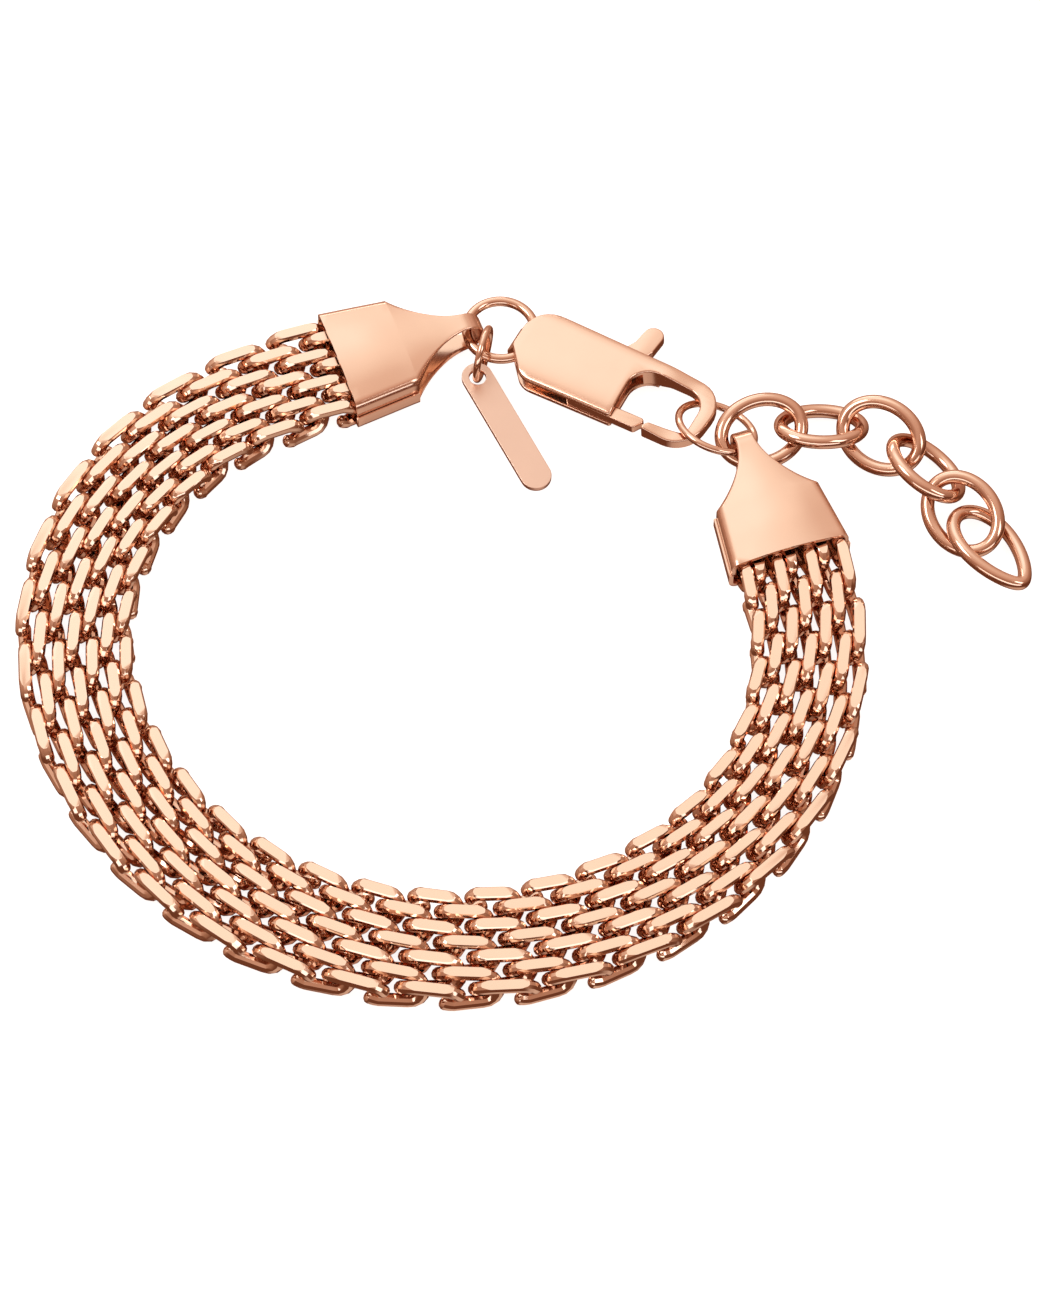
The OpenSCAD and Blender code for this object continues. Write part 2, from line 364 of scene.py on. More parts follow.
def cap_half(x):
    if x <= BODY_LENGTH:
        return MOUTH_HALF + (SHOULDER_HALF - MOUTH_HALF) * x / BODY_LENGTH
    left = max(0.0, 1 - (x - BODY_LENGTH) / FLARE)
    return NECK_HALF + (SHOULDER_HALF - NECK_HALF) * left ** FLARE_POWER


def strip_point(run, across):
    """run is (part, x or angle) along the strip, and across goes from -1 to 1 over its width."""
    part, along = run
    x = FOLD[0] if part == "fold" else along
    boxed = 1 if x <= BODY_LENGTH else 0
    corner = EDGE_SOFT + (EDGE_ROUND - EDGE_SOFT) * (1 - ease(x, *ROUND_FADES))
    half = cap_half(x) + (LIP * boxed if part == "bottom" else 0.0)
    neck = ease(x, SLOPE_FROM, FOLD[0])
    if part == "top":
        level = CAP_HEIGHT + (FOLD[1] + FOLD_OUTER - CAP_HEIGHT) * neck
    else:
        level = (FOLD[1] - FOLD_OUTER) * neck
    dome = DOME * (1 - neck) if part == "top" else 0.0
    place = abs(across)
    if place <= FLAT_TO:
        y = (half - corner) * place / FLAT_TO
        drop = dome * (place / FLAT_TO) ** 2
    elif place <= BEND_TO:
        bend = math.radians(90) * (place - FLAT_TO) / (BEND_TO - FLAT_TO)
        y = half - corner + corner * math.sin(bend)
        drop = dome + corner * (1 - math.cos(bend))
    else:
        wall = (abs(level - SEAM) - corner - dome - SEAM_GAP) * boxed
        y = half
        drop = dome + corner + wall * (place - BEND_TO) / (1 - BEND_TO)
    y = math.copysign(y, across)
    if part == "fold":
        angle = math.radians(90 - along)
        reach = FOLD_OUTER - drop
        return Vector((x + reach * math.cos(angle), y, FOLD[1] + reach * math.sin(angle)))
    return Vector((x, y, level - drop if part == "top" else level + drop))


print("half a cap's width at its shoulder:", cap_half(BODY_LENGTH), "mm")

# %% Rows and columns of the strip
BODY_ROWS = 9
NECK_ROWS = 20
STEP_PAST = 0.02   # the first row past the body, where the walls end
FOLD_STEP = 15     # degrees

top_places = [BODY_LENGTH * k / BODY_ROWS for k in range(BODY_ROWS + 1)]
top_places += [BODY_LENGTH + STEP_PAST + (FOLD[0] - BODY_LENGTH) * k / NECK_ROWS
               for k in range(NECK_ROWS)]
runs = [("top", x) for x in top_places]
runs += [("fold", a) for a in range(0, 181, FOLD_STEP)]
runs += [("bottom", x) for x in reversed(top_places)]
acrosses = [0, 0.125, 0.25, 0.375, 0.5, 0.55, 0.6, 0.65, 0.7, 0.75, 0.8, 0.9, 1.0]
acrosses = [-a for a in reversed(acrosses[1:])] + acrosses
print("strip:", len(runs), "rows of", len(acrosses), "points")

# %% Bend a grid into each cap
CAP_CREASE = 50.0
WORN_RIM = 0.05
STRIP_WELD = 0.002   # points of the strip nearer to each other than this are one


def shade_evenly(piece):
    """Leans the shading of round rims towards the larger faces beside them."""
    even = piece.modifiers.new("even shading", "WEIGHTED_NORMAL")
    even.keep_sharp = True


def make_cap(name, node):
    x0, y0, heading = CAP_AT[node]
    bm = bmesh.new()
    rows, columns = len(runs) - 1, len(acrosses) - 1
    bmesh.ops.create_grid(bm, x_segments=rows, y_segments=columns, size=1.0)
    place = (Matrix.Translation((x0 * MM, y0 * MM, 0.0))
             @ Matrix.Rotation(math.radians(heading), 4, "Z")
             @ Matrix.Translation((MOUTH_GAP * MM, 0, 0)) @ Matrix.Scale(MM, 4))
    for v in bm.verts:
        row = round((v.co.x + 1) / 2 * rows)
        column = round((v.co.y + 1) / 2 * columns)
        v.co = place @ strip_point(runs[row], acrosses[column])
    bmesh.ops.remove_doubles(bm, verts=bm.verts[:], dist=STRIP_WELD * MM)
    bmesh.ops.recalc_face_normals(bm, faces=bm.faces[:])
    highest = max(bm.faces, key=lambda f: f.calc_center_median().z)
    if highest.normal.z < 0:
        bmesh.ops.reverse_faces(bm, faces=bm.faces[:])
    piece = finish_piece(name, bm, "bracelet", CAP_CREASE)
    thickness = piece.modifiers.new("sheet", "SOLIDIFY")
    thickness.thickness = SHEET * MM
    thickness.offset = -1.0
    rim = piece.modifiers.new("worn rim", "BEVEL")
    rim.width = WORN_RIM * MM
    rim.segments = 2
    rim.limit_method = "ANGLE"
    rim.angle_limit = math.radians(CAP_CREASE)
    shade_evenly(piece)
    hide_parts(node)
    return piece


cap_left = make_cap("cap_left_sheet", "cap_left")
cap_right = make_cap("cap_right_sheet", "cap_right")

# %% [markdown]
# ## The clasp's shell
#
# The upper plate of the clasp and its hook are one stamping. Its face is gently domed, its rim is
# rounded, and the hook is as deep as the lever and thins towards its end. It could be a block cut
# by other blocks, but it is made as a press makes it: a flat blank with the right outline, whose
# rim is rounded, and which is then bent. The outline is a table of corners with a radius each. The
# blank needs points where it bends, so planes cut it into strips, after the rim is rounded, since
# a bevel runs cleanly only round an outline without cuts. Each point then gets its height from its
# place in the plan.

# %% The clasp's outline
CLASP_AT = (6.3, 24.75, 0.13)
CLASP_TURN = (-28.5, -3.2)   # heading and pitch
CLASP_PLAN = [  # x, y, corner radius
    (-1.85, 1.7, 0.8), (0.2, -0.8, 1.8), (8.6, -0.8, 0.25), (8.5, 4.5, 1.9), (15.0, 4.35, 1.8),
    (15.0, 0.35, 0.7), (11.85, -0.1, 0.25), (11.25, -0.9, 0.25), (15.9, -1.0, 2.6),
    (16.5, 5.6, 2.8), (-1.8, 6.2, 2.6),
]
ARC_STEPS = 8   # steps in a corner's arc


def rounded_outline(table):
    """Points of a polygon whose corners are arcs."""
    points = []
    for index, (x, y, radius) in enumerate(table):
        corner = Vector((x, y))
        back = (Vector(table[index - 1][:2]) - corner).normalized()
        ahead = (Vector(table[(index + 1) % len(table)][:2]) - corner).normalized()
        half = back.angle(ahead) / 2
        middle = corner + (back + ahead).normalized() * radius / math.sin(half)
        start = corner + back * radius / math.tan(half) - middle
        end = corner + ahead * radius / math.tan(half) - middle
        first = math.atan2(start.y, start.x)
        turn = math.remainder(math.atan2(end.y, end.x) - first, 2 * math.pi)
        for k in range(ARC_STEPS + 1):
            angle = first + turn * k / ARC_STEPS
            points.append(middle + radius * Vector((math.cos(angle), math.sin(angle))))
    return points


print("points on the clasp's outline:", len(rounded_outline(CLASP_PLAN)))

# %% The clasp's heights
CLASP_DEPTH = 2.2
PLATE = 0.4
NEAR_EDGE = -0.8           # y of the near edge
FAR_EDGE = 6.14            # the far edge is where y + FAR_SLANT * x reaches this
FAR_SLANT = 0.0328
ROLL_WIDTH = 1.1           # how far inwards the rolled edges start
NEAR_ROLL, FAR_ROLL = 0.20, 0.3
ROLL_STEEP = 0.96          # 1 would end the roll upright
NEAR_ROLL_ENDS = (8.6, 10.5)   # x over which the near roll fades out
CROWN = (2.5, 2.2)         # the plate falls from here,
CROWN_REACH = (7.5, 3.0)   # over these lengths,
PILLOW = (0.06, 0.26)      # by these heights, along and towards the near edge
PILLOW_ENDS = (8.5, 12.0)
HOOK_FROM = 9.2
STEP = 0.02                # width of the step in the underside where the hook starts
HOOK_THIN = 0.4            # what the hook loses above and below
THIN_ABOVE = (10.6, 14.2)  # x over which it does so
THIN_BELOW = (10.4, 11.8)
LIP_WIDTH = 0.41           # the near lip, which hangs down from the plate
LIP_START = -0.6
LIP_FROM = 1.5             # height of its underside
THICKER = 0.25             # what the plate gains under its rolled edges,
THICKER_OUTSIDE = (0.8, 5.0)   # outside these two y


def rolled(depth, inward):
    share = min(1.0, max(0.0, 1 - inward / ROLL_WIDTH))
    return depth * (1 - math.sqrt(1 - share ** 2 * ROLL_STEEP))


def clasp_top(x, y):
    """Height of the upper face: domed across the plate, and lower along the hook."""
    near = rolled(NEAR_ROLL, y - NEAR_EDGE) * (1 - ease(x, *NEAR_ROLL_ENDS))
    far = rolled(FAR_ROLL, FAR_EDGE - y - FAR_SLANT * x)
    along = (x - CROWN[0]) / CROWN_REACH[0]
    across = max(0.0, (CROWN[1] - y) / CROWN_REACH[1])
    pillow = (PILLOW[1] * across ** 2 + PILLOW[0] * along ** 2) * (1 - ease(x, *PILLOW_ENDS))
    return CLASP_DEPTH - HOOK_THIN * ease(x, *THIN_ABOVE) - (near + far) - pillow


def clasp_bottom(x, y):
    if x > HOOK_FROM + STEP / 2:
        return PLATE + HOOK_THIN * ease(x, *THIN_BELOW)
    if y < NEAR_EDGE + LIP_WIDTH and x > LIP_START:
        return LIP_FROM
    thicker = y < THICKER_OUTSIDE[0] or y > THICKER_OUTSIDE[1]
    return CLASP_DEPTH - PLATE - (THICKER if thicker else 0.0)


print("height at the crown:", clasp_top(*CROWN), "mm")

# %% Press the upper plate and the hook
BLANK = 1.0        # thickness of the flat blank before it is bent
SHELL_ROUND = 0.17
CUTS = [   # the planes' direction in the plan, and their distances from the middle
    ((0, 1), [-0.55, -0.4, -0.2, 0.05, 0.35, 0.7, 1.2, 1.8, 2.4, 3.0, 3.6, 4.2]),
    ((FAR_SLANT, 1), [FAR_EDGE - inward for inward in (0.3, 0.45, 0.65, 0.9, 1.15)]),
    ((1, 0), [-1.0 + 0.9 * k for k in range(11)]),
    ((1, 0), [HOOK_FROM, HOOK_FROM + STEP] + [10.4 + 0.35 * k for k in range(12)]),
]


def outline_face(bm, points):
    return bm.faces.new([bm.verts.new((p.x, p.y, 0.0)) for p in points])


shell = bmesh.new()
blank = outline_face(shell, rounded_outline(CLASP_PLAN))
grown = bmesh.ops.extrude_face_region(shell, geom=[blank])
bmesh.ops.translate(shell, vec=(0, 0, BLANK), verts=verts_in(grown["geom"]))
upper_rim = [e for e in shell.edges if all(v.co.z > BLANK / 2 for v in e.verts)]
round_edges(shell, upper_rim, SHELL_ROUND, segments=4, clamp=False)
bmesh.ops.recalc_face_normals(shell, faces=shell.faces[:])
for direction, distances in CUTS:
    normal = Vector((*direction, 0)).normalized()
    for distance in distances:
        cut(shell, normal * distance, normal)
for v in shell.verts:
    if v.co.z > BLANK / 2:
        v.co.z += clasp_top(v.co.x, v.co.y) - BLANK
    else:
        v.co.z = clasp_bottom(v.co.x, v.co.y)
print("shell:", len(shell.faces), "faces")

# %% [markdown]
# ## The clasp's lower plate, walls and pin
#
# Under the shell is a second plate with the same outline, which ends where the hook begins. Three
# blocks join the two: the tail that the jump ring goes round, a wall along the far edge, and the
# root of the hook. The pin stands between the plates. They are hidden for the most part, so they
# stay simple shapes, and they are welded to the shell in one piece, as on the real clasp.

# %% Lower plate
SOLID_END = 10.4   # where the lower plate ends
PLATE_ROUND = 0.08
RIM_ANGLE = math.radians(60)   # edges that turn by more than this are rims

plate = bmesh.new()
outline_face(plate, rounded_outline(CLASP_PLAN))
cut(plate, (SOLID_END, 0, 0), (1, 0, 0), clear=True)
upper = plate.verts[:]
bmesh.ops.extrude_face_region(plate, geom=plate.faces[:])
bmesh.ops.translate(plate, vec=(0, 0, PLATE), verts=upper)
rims = [e for e in plate.edges if e.calc_face_angle(0.0) > RIM_ANGLE]
round_edges(plate, rims, PLATE_ROUND)
print("lower plate:", len(plate.faces), "faces")

# %% Tail, wall, hook's root and pin
BLOCKS = [   # two corners, the edges' round, and how far the top falls towards -X
    ((-2.35, 1.6, 0.02), (-1.6, 4.1, 2.0), 0.1, 1.1),
    ((0.8, 5.5, 0.1), (3.7, 5.9, 1.9), 0.08, 0.0),
    ((HOOK_FROM, 4.7, 0.05), (SOLID_END, 5.4, 1.0), 0.02, 0.0),
]
PIN_AT = (6.4, 3.0)
PIN_SIDES = 32
PIN_RADIUS = 0.5
PIN_LENGTH = 2.0
PIN_MIDDLE = 1.05


def soft_block(bm, low, high, round_by, slant):
    made = bmesh.ops.create_cube(bm, size=1.0)["verts"]
    size = [b - a for a, b in zip(low, high)]
    centre = [(a + b) / 2 for a, b in zip(low, high)]
    bmesh.ops.scale(bm, vec=size, verts=made)
    bmesh.ops.translate(bm, vec=centre, verts=made)
    for v in made:
        if v.co.x < centre[0] and v.co.z > centre[2]:
            v.co.z -= slant
    round_edges(bm, edges_at(made), round_by)


for block in BLOCKS:
    soft_block(plate, *block)
pin = bmesh.ops.create_cone(
    plate, cap_ends=True, segments=PIN_SIDES, radius1=PIN_RADIUS, radius2=PIN_RADIUS,
    depth=PIN_LENGTH)["verts"]
bmesh.ops.translate(plate, vec=(*PIN_AT, PIN_MIDDLE), verts=pin)
bmesh.ops.recalc_face_normals(plate, faces=plate.faces[:])
print("with the blocks and the pin:", len(plate.faces), "faces")

# %% Join the clasp and carry it to its place
PRESSED_CREASE = 38.0


def in_clasp(bm):
    """Carries a bmesh in mm from the clasp's own frame to its place on the bracelet."""
    heading, pitch = (math.radians(a) for a in CLASP_TURN)
    place = (Matrix.Scale(MM, 4) @ Matrix.Translation(CLASP_AT)
             @ Matrix.Rotation(heading, 4, "Z") @ Matrix.Rotation(pitch, 4, "Y"))
    bmesh.ops.transform(bm, matrix=place, verts=bm.verts[:])


pour(shell, plate)
in_clasp(shell)
clasp = finish_piece("clasp_shell", shell, "bracelet", PRESSED_CREASE)
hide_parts("clasp_body")

# %% [markdown]
# ## The lever
#
# The lever turns on the pin between the plates. One end of it is the gate that closes the hook, the
# other is the round tab for the thumb. It is blanked from thicker sheet, so it is made in the same
# way as the plates: an outline of corners with radii, extruded, with both rims rounded. The hole
# for the pin could be cut out afterwards, but here the face is filled between the outline and a
# ring of edges, so the hole is there before it is extruded. It rides on the lever's own body.

# %% Blank the lever
LEVER_PLAN = [   # x, y, corner radius
    (4.4, -0.7, 0.3), (10.75, -0.8, 0.3), (11.5, 0.4, 0.3), (8.2, 0.4, 0.3), (8.2, 5.4, 0.3),
    (8.75, 6.6, 0.4), (9.0, 8.9, 0.83), (7.3, 8.9, 0.83), (6.95, 6.9, 0.5), (6.4, 5.9, 0.4),
    (4.4, 4.6, 0.6),
]
LEVER_AT = 0.5      # height of its underside
LEVER_DEPTH = 0.9
PIN_HOLE = 0.6

lever_bm = bmesh.new()
corners = [lever_bm.verts.new((p.x, p.y, LEVER_AT)) for p in rounded_outline(LEVER_PLAN)]
outline = [lever_bm.edges.new((corners[k - 1], corners[k])) for k in range(len(corners))]
hole = bmesh.ops.create_circle(
    lever_bm, cap_ends=False, radius=PIN_HOLE, segments=PIN_SIDES)["verts"]
bmesh.ops.translate(lever_bm, vec=(*PIN_AT, LEVER_AT), verts=hole)
bmesh.ops.triangle_fill(lever_bm, edges=outline + edges_at(hole), use_beauty=True)
print("flat blank:", len(lever_bm.faces), "faces")

# %% Extrude it and round its rims
LEVER_ROUND = 0.12
FLAT = math.radians(1.0)   # faces that meet at less than this are joined

grown = bmesh.ops.extrude_face_region(lever_bm, geom=lever_bm.faces[:])
bmesh.ops.translate(lever_bm, vec=(0, 0, LEVER_DEPTH), verts=verts_in(grown["geom"]))
bmesh.ops.recalc_face_normals(lever_bm, faces=lever_bm.faces[:])
bmesh.ops.dissolve_limit(
    lever_bm, angle_limit=FLAT, verts=lever_bm.verts[:], edges=lever_bm.edges[:])
rims = [e for e in lever_bm.edges if e.calc_face_angle(0.0) > RIM_ANGLE
        and abs(e.verts[0].co.z - e.verts[1].co.z) < 0.01]
round_edges(lever_bm, rims, LEVER_ROUND, segments=3, clamp=False)
in_clasp(lever_bm)
lever = finish_piece("clasp_gate", lever_bm, "lever", PRESSED_CREASE)
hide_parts("clasp_lever")

# %% [markdown]
# ## The tag
#
# The tag is stamped from sheet and tumbled, so no edge on it is sharp. Its solid has the right
# shape with hard edges. A copy is welded, its flat faces are joined again, and its edges are
# bevelled, which is how the tumbling works too: every edge gets the same small round.

# %% Round the edges of a copy of the tag's solid
TAG_ROUND = 0.08
HARD_ANGLE = math.radians(28)
SOLID_WELD = 0.001   # corners of a solid nearer to each other than this are one


def welded_copy(node):
    """A bmesh of a solid, whose loose triangles are joined at their corners."""
    bm = bmesh.new()
    bm.from_mesh(nodes[node].data)
    bmesh.ops.remove_doubles(bm, verts=bm.verts[:], dist=SOLID_WELD * MM)
    return bm


tag_bm = welded_copy("tag")
bmesh.ops.dissolve_limit(tag_bm, angle_limit=FLAT, verts=tag_bm.verts[:], edges=tag_bm.edges[:])
hard_edges = [e for e in tag_bm.edges if len(e.link_faces) == 2
              and e.calc_face_angle(0.0) > HARD_ANGLE]
round_edges(tag_bm, hard_edges, TAG_ROUND * MM)
tag = finish_piece("small_tag", tag_bm, "bracelet", crease=40.0)
shade_evenly(tag)
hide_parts("tag")

# %% [markdown]
# ## Smooth wire for the extender
#
# The extender's links are bent from round wire. Their solids are swept with few sides, to keep
# them light. They could be swept again, but the solids already have the right bends, so a copy is
# welded, its triangles are joined into four-sided faces, and one level of subdivision makes the
# wire round. The three jump rings are fine enough as they are, and only get smooth shading.

# %% Round links
LINKS = 6
QUAD_BEND = math.radians(40)    # how far two triangles of a quad may be out of plane
QUAD_SKEW = math.radians(60)    # and how far its corners may be from square


def smooth_link(node):
    bm = welded_copy(node)
    bmesh.ops.join_triangles(
        bm, faces=bm.faces[:], angle_face_threshold=QUAD_BEND, angle_shape_threshold=QUAD_SKEW)
    piece = finish_piece(node + "_wire", bm, "bracelet", crease=80.0)
    subdivision = piece.modifiers.new("round", "SUBSURF")
    subdivision.levels = 1
    subdivision.render_levels = 1
    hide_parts(node)
    return piece


links = [smooth_link("link_%d" % i) for i in range(1, LINKS + 1)]
rings = [nodes[name] for name in ("clasp_ring", "tag_ring", "catch_ring")]
for ring in rings:
    for polygon in ring.data.polygons:
        polygon.use_smooth = True

# %% [markdown]
# ## One recipe for the polish
# All of the metal is the same steel with the same coating, so one node group makes its colour, its
# roughness and its fine relief, and each material sets only a few numbers. A material of its own
# for each piece would be as quick to make, but then a change of tone would have to be made four
# times. In the crevices, which ambient occlusion finds, the colour is pulled towards a deep warm
# tone: painted shade, which stands in for the steel mirroring itself there. The coating is also a
# little cloudy. Fine scratches from the polishing cloth run along one direction.

# %% The group and its sockets
steel_group = bpy.data.node_groups.new("coated steel", "ShaderNodeTree")
for label in ("Tone", "Painted shade tone"):
    steel_group.interface.new_socket(label, in_out="INPUT", socket_type="NodeSocketColor")
for label in ("Painted shade reach", "Base roughness", "Roughness spread", "Scratch depth"):
    steel_group.interface.new_socket(label, in_out="INPUT", socket_type="NodeSocketFloat")
for label, kind in (("Color", "Color"), ("Roughness", "Float"), ("Normal", "Vector")):
    steel_group.interface.new_socket(label, in_out="OUTPUT", socket_type="NodeSocket" + kind)


def add_node(tree, kind, sockets=None):
    """Adds a node and sets the sockets that are given, by their name or their number."""
    node = tree.nodes.new(kind)
    for socket, value in (sockets or {}).items():
        node.inputs[socket].default_value = value
    return node


given = add_node(steel_group, "NodeGroupInput")
result = add_node(steel_group, "NodeGroupOutput")
where = add_node(steel_group, "ShaderNodeTexCoord")
link = steel_group.links.new
print("sockets of the group:", len(given.outputs) - 1, "in,", len(result.inputs) - 1, "out")

# %% Colour: painted shade in the crevices, and clouds
PAINTED_SHADE_RANGE = {"From Min": 0.05, "From Max": 0.70}
CLOUDS = {"Scale": 260.0, "Detail": 3.0}
CLOUD_VALUES = {"To Min": 0.95, "To Max": 1.04}

# Ambient occlusion pulls the colour towards the deep tone in crevices and between parts: painted
# shade.
shade = add_node(steel_group, "ShaderNodeAmbientOcclusion")
shade.samples = 6
link(given.outputs["Painted shade reach"], shade.inputs["Distance"])
reach = add_node(steel_group, "ShaderNodeMapRange", PAINTED_SHADE_RANGE)
link(shade.outputs["AO"], reach.inputs["Value"])
clouds = add_node(steel_group, "ShaderNodeTexNoise", CLOUDS)
link(where.outputs["Object"], clouds.inputs["Vector"])
value = add_node(steel_group, "ShaderNodeMapRange", CLOUD_VALUES)
link(clouds.outputs["Fac"], value.inputs["Value"])
tint = add_node(steel_group, "ShaderNodeHueSaturation")
link(value.outputs["Result"], tint.inputs["Value"])
link(given.outputs["Tone"], tint.inputs["Color"])
blend = add_node(steel_group, "ShaderNodeMix")
blend.data_type = "RGBA"
link(reach.outputs["Result"], blend.inputs["Factor"])
link(given.outputs["Painted shade tone"], blend.inputs["A"])
link(tint.outputs["Color"], blend.inputs["B"])
link(blend.outputs["Result"], result.inputs["Color"])
print("nodes after the colour:", len(steel_group.nodes))

# %% Roughness and fine scratches
SMEARS = {"Scale": 700.0, "Detail": 4.0}
SCRATCH_FIELD = {"Rotation": (0.0, 0.0, math.radians(24)), "Scale": (900.0, 16000.0, 9000.0)}
SCRATCHES = {"Scale": 1.0, "Detail": 2.0}
RELIEF = {"Distance": 0.00001}

smear = add_node(steel_group, "ShaderNodeTexNoise", SMEARS)
link(where.outputs["Object"], smear.inputs["Vector"])
roughness = add_node(steel_group, "ShaderNodeMath")
roughness.operation = "MULTIPLY_ADD"
link(smear.outputs["Fac"], roughness.inputs[0])
link(given.outputs["Roughness spread"], roughness.inputs[1])
link(given.outputs["Base roughness"], roughness.inputs[2])
link(roughness.outputs["Value"], result.inputs["Roughness"])
lengthen = add_node(steel_group, "ShaderNodeMapping", SCRATCH_FIELD)
link(where.outputs["Object"], lengthen.inputs["Vector"])
scratch = add_node(steel_group, "ShaderNodeTexNoise", SCRATCHES)
link(lengthen.outputs["Vector"], scratch.inputs["Vector"])
relief = add_node(steel_group, "ShaderNodeBump", RELIEF)
link(given.outputs["Scratch depth"], relief.inputs["Strength"])
link(scratch.outputs["Fac"], relief.inputs["Height"])
link(relief.outputs["Normal"], result.inputs["Normal"])
print("nodes in the group:", len(steel_group.nodes))

# %% Materials from the recipe
# The deep warm tone that the crevices are painted with: painted shade, not a colour of the coating.
PAINTED_SHADE_TONE = (0.50, 0.14, 0.045)
# The crevice reach says how far from a crevice its painted shade reaches.
STEELS = {   # tone, crevice reach in mm, base roughness, roughness spread, scratch depth
    # The tones differ though the coating is one: the mesh's is set lighter, so its ground flats
    # come out creamy, and the tag's a little lighter too. This is painted lightness.
    "mesh steel": ((0.97, 0.74, 0.585), 1.5, 0.07, 0.06, 0.08),
    "sheet steel": ((0.91, 0.65, 0.505), 0.9, 0.15, 0.06, 0.10),
    "wire steel": ((0.91, 0.65, 0.505), 0.9, 0.08, 0.06, 0.06),
    "tag steel": ((0.92, 0.71, 0.59), 0.8, 0.34, 0.08, 0.35),
}


def coat(pieces, name):
    """Makes a material of the table and gives it to the pieces."""
    tone, shade_reach_mm, base, spread, depth = STEELS[name]
    material = bpy.data.materials.new(name)
    material.use_nodes = True
    tree = material.node_tree
    shader = tree.nodes["Principled BSDF"]
    shader.inputs["Metallic"].default_value = 1.0
    recipe = tree.nodes.new("ShaderNodeGroup")
    recipe.node_tree = steel_group
    for socket, value in (("Tone", (*tone, 1.0)), ("Painted shade tone", (*PAINTED_SHADE_TONE, 1.0)),
                          ("Painted shade reach", shade_reach_mm * MM), ("Base roughness", base),
                          ("Roughness spread", spread), ("Scratch depth", depth)):
        recipe.inputs[socket].default_value = value
    for output, socket in (("Color", "Base Color"), ("Roughness", "Roughness"),
                           ("Normal", "Normal")):
        tree.links.new(recipe.outputs[output], shader.inputs[socket])
    for piece in pieces:
        piece.data.materials.clear()
        piece.data.materials.append(material)
    print(name, "is on", len(pieces), "pieces")


coat([weave], "mesh steel")
coat([cap_left, cap_right, clasp, lever], "sheet steel")
coat(links + rings, "wire steel")
coat([tag], "tag steel")

# %% [markdown]
# ## Floor
#
# The floor is a sheet of pale paper, a plain grid of one face. It glows a little, as paper does
# under a soft box, so that it comes out nearly white without more light on the metal. Polished
# metal would mirror so much white that its edges would be lost, so the floor is left out of the
# reflections, as a photographer of jewellery keeps it out of them with cards.

# %% A pale floor
FLOOR_HALF = 1.5
PAPER = {"Base Color": (0.60, 0.595, 0.59, 1), "Roughness": 0.9,
         "Emission Color": (1, 0.99, 0.98, 1), "Emission Strength": 0.9}

floor_bm = bmesh.new()
bmesh.ops.create_grid(floor_bm, x_segments=1, y_segments=1, size=FLOOR_HALF)
floor_mesh = bpy.data.meshes.new("floor")
floor_bm.to_mesh(floor_mesh)
floor_bm.free()
floor = bpy.data.objects.new("floor", floor_mesh)
bpy.context.scene.collection.objects.link(floor)
paper = bpy.data.materials.new("floor paper")
paper.use_nodes = True
for socket, value in PAPER.items():
    paper.node_tree.nodes["Principled BSDF"].inputs[socket].default_value = value
floor.data.materials.append(paper)
floor.visible_glossy = False
print("floor:", FLOOR_HALF * 2, "m wide")

# %% [markdown]
# ## Light
#
# Polished metal shows its surroundings more than itself, so the light is built for what the metal
# sees. Four soft lamps give the highlights: two above, a wide low one in front that draws the near
# edges, and a small one behind. Everything else comes from the room.

# %% Soft studio light
LAMPS = {   # place and size in metres, power in watts
    "key": ((-0.24, 0.02, 0.34), (0.16, 0.16), 0.34),
    "fill": ((0.28, -0.10, 0.30), (0.12, 0.20), 0.16),
    "low front": ((0.0, -0.42, 0.20), (0.90, 0.15), 0.60),
    "low back": ((-0.10, 0.40, 0.15), (0.30, 0.06), 0.10),
}
for name, (place, size, power) in LAMPS.items():
    lamp = bpy.data.lights.new(name, "AREA")
    lamp.shape = "RECTANGLE"
    lamp.size, lamp.size_y = size
    lamp.energy = power
    thing = bpy.data.objects.new(name, lamp)
    aim = (-Vector(place)).to_track_quat("-Z", "Y")
    thing.matrix_world = Matrix.Translation(place) @ aim.to_matrix().to_4x4()
    bpy.context.scene.collection.objects.link(thing)
print("lamps:", len(LAMPS))

# %% [markdown]
# ## The room that the metal mirrors
#
# The room could be a photographed one, but this one needs only a colour for each angle from the
# window, so it is a ramp. It is near white at the window, which is high up behind the bracelet, for
# the creamy flats. Beside the window it turns salmon, then comes a dark warm belt that draws the
# edges, and opposite the window it is pale again, like the top of a table. The camera itself
# doesn't see this room, but an even pale background.

# %% Colours of the room
WINDOW = (-0.25, 0.62, 0.74)
ROOM = [   # how far a direction points to the window, from -1 to 1, and its colour
    (-1.00, (0.66, 0.46, 0.37)),
    (-0.93, (0.58, 0.39, 0.31)),
    (-0.80, (0.15, 0.05, 0.025)),
    (-0.40, (0.15, 0.05, 0.025)),
    (-0.05, (0.34, 0.165, 0.105)),
    (0.30, (0.46, 0.24, 0.165)),
    (0.65, (0.70, 0.44, 0.34)),
    (0.85, (0.83, 0.60, 0.49)),
    (0.95, (1.12, 0.98, 0.87)),
    (0.99, (1.27, 1.22, 1.16)),
]
BACKGROUND = (0.95, 0.94, 0.93, 1.0)
print("colours in the room:", len(ROOM))

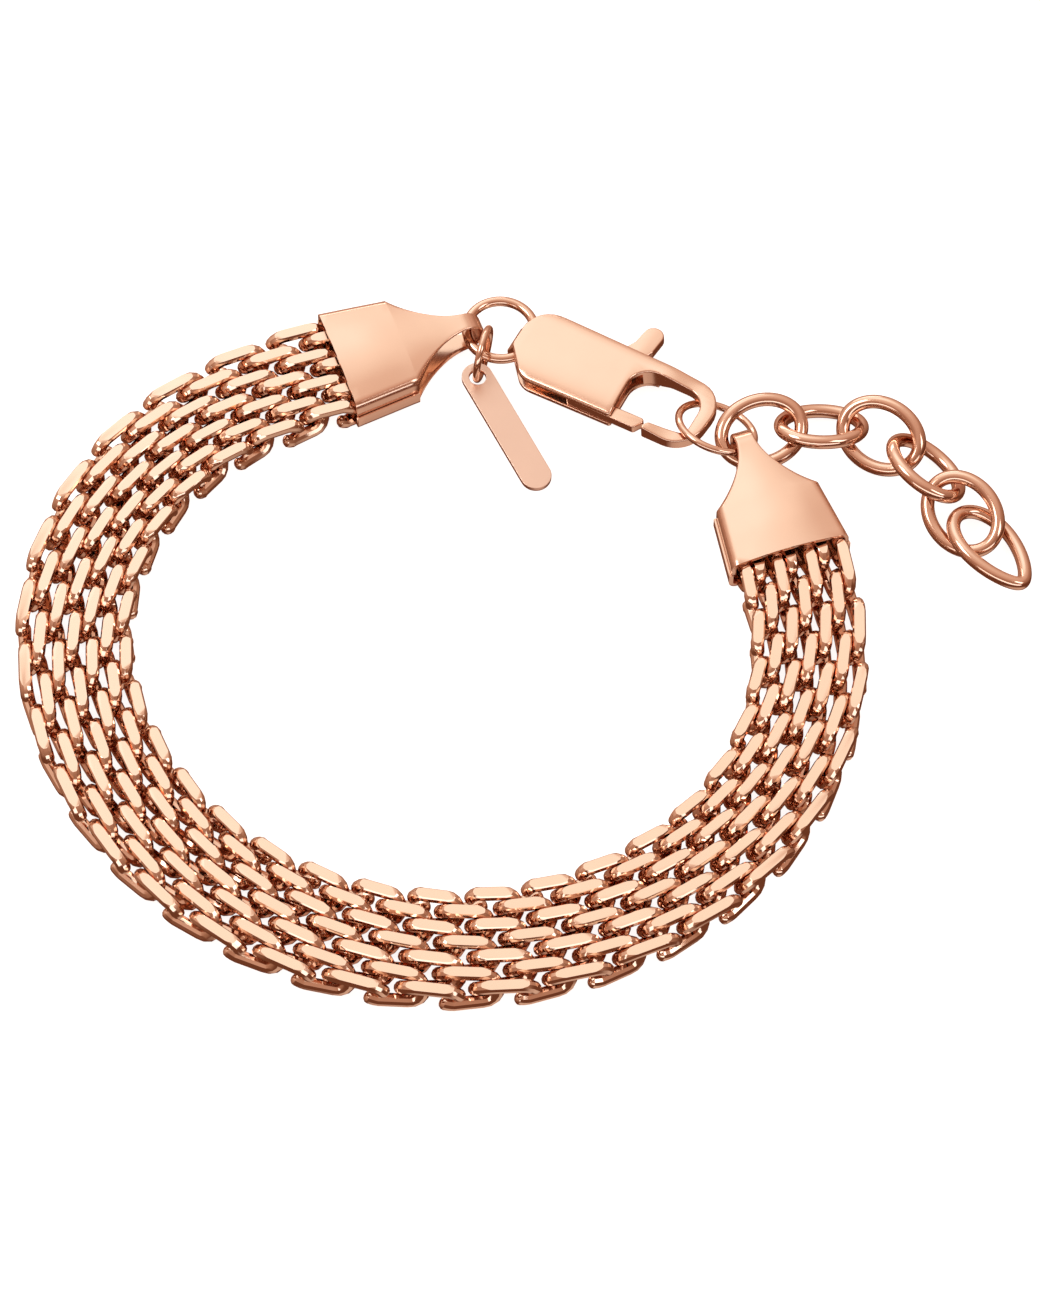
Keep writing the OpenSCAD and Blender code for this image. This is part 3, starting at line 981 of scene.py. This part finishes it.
# %% Build the room
world = bpy.data.worlds.new("studio")
bpy.context.scene.world = world
world.use_nodes = True
sky = world.node_tree
direction = add_node(sky, "ShaderNodeTexCoord")
to_window = add_node(sky, "ShaderNodeVectorMath", {1: Vector(WINDOW).normalized()})
to_window.operation = "DOT_PRODUCT"
to_ramp = add_node(sky, "ShaderNodeMath", {1: 0.5, 2: 0.5})   # from -1...1 to 0...1
to_ramp.operation = "MULTIPLY_ADD"
ramp = add_node(sky, "ShaderNodeValToRGB")
ramp.color_ramp.interpolation = "EASE"
stops = ramp.color_ramp.elements
for k, (height, colour) in enumerate(ROOM):
    stop = stops[k] if k < 2 else stops.new(height)
    stop.position = (height + 1) / 2
    stop.color = (*colour, 1.0)
path_kind = add_node(sky, "ShaderNodeLightPath")
seen = add_node(sky, "ShaderNodeMix")
seen.data_type = "RGBA"
seen.inputs["B"].default_value = BACKGROUND
sky.links.new(direction.outputs["Generated"], to_window.inputs[0])
sky.links.new(to_window.outputs["Value"], to_ramp.inputs[0])
sky.links.new(to_ramp.outputs["Value"], ramp.inputs["Fac"])
sky.links.new(path_kind.outputs["Is Camera Ray"], seen.inputs["Factor"])
sky.links.new(ramp.outputs["Color"], seen.inputs["A"])
sky.links.new(seen.outputs["Result"], sky.nodes["Background"].inputs["Color"])
print("stops on the ramp:", len(stops))

# %% [markdown]
# ## Camera
#
# The picture looks down at sixty degrees from the side of the band that faces the clasp. A near
# camera with a short lens could frame the same, but it would swell the front of the band, so a long
# lens stands further off. Its place and its tilt follow the photograph.

# %% Place the camera
CAMERA_AT = (6.05, -213.2, 367.7)
CAMERA_TILT = 30.0   # degrees up from straight down
FOCAL_LENGTH = 146.0
SENSOR = 36.0

lens = bpy.data.cameras.new("camera")
lens.lens = FOCAL_LENGTH
lens.sensor_width = SENSOR
lens.clip_start = 0.01
camera = bpy.data.objects.new("camera", lens)
camera.location = Vector(CAMERA_AT) * MM
camera.rotation_euler = (math.radians(CAMERA_TILT), 0, 0)
bpy.context.scene.collection.objects.link(camera)
bpy.context.scene.camera = camera
bpy.context.scene.view_settings.view_transform = "Standard"
print("camera", round(camera.location.length, 3), "m from the bracelet")
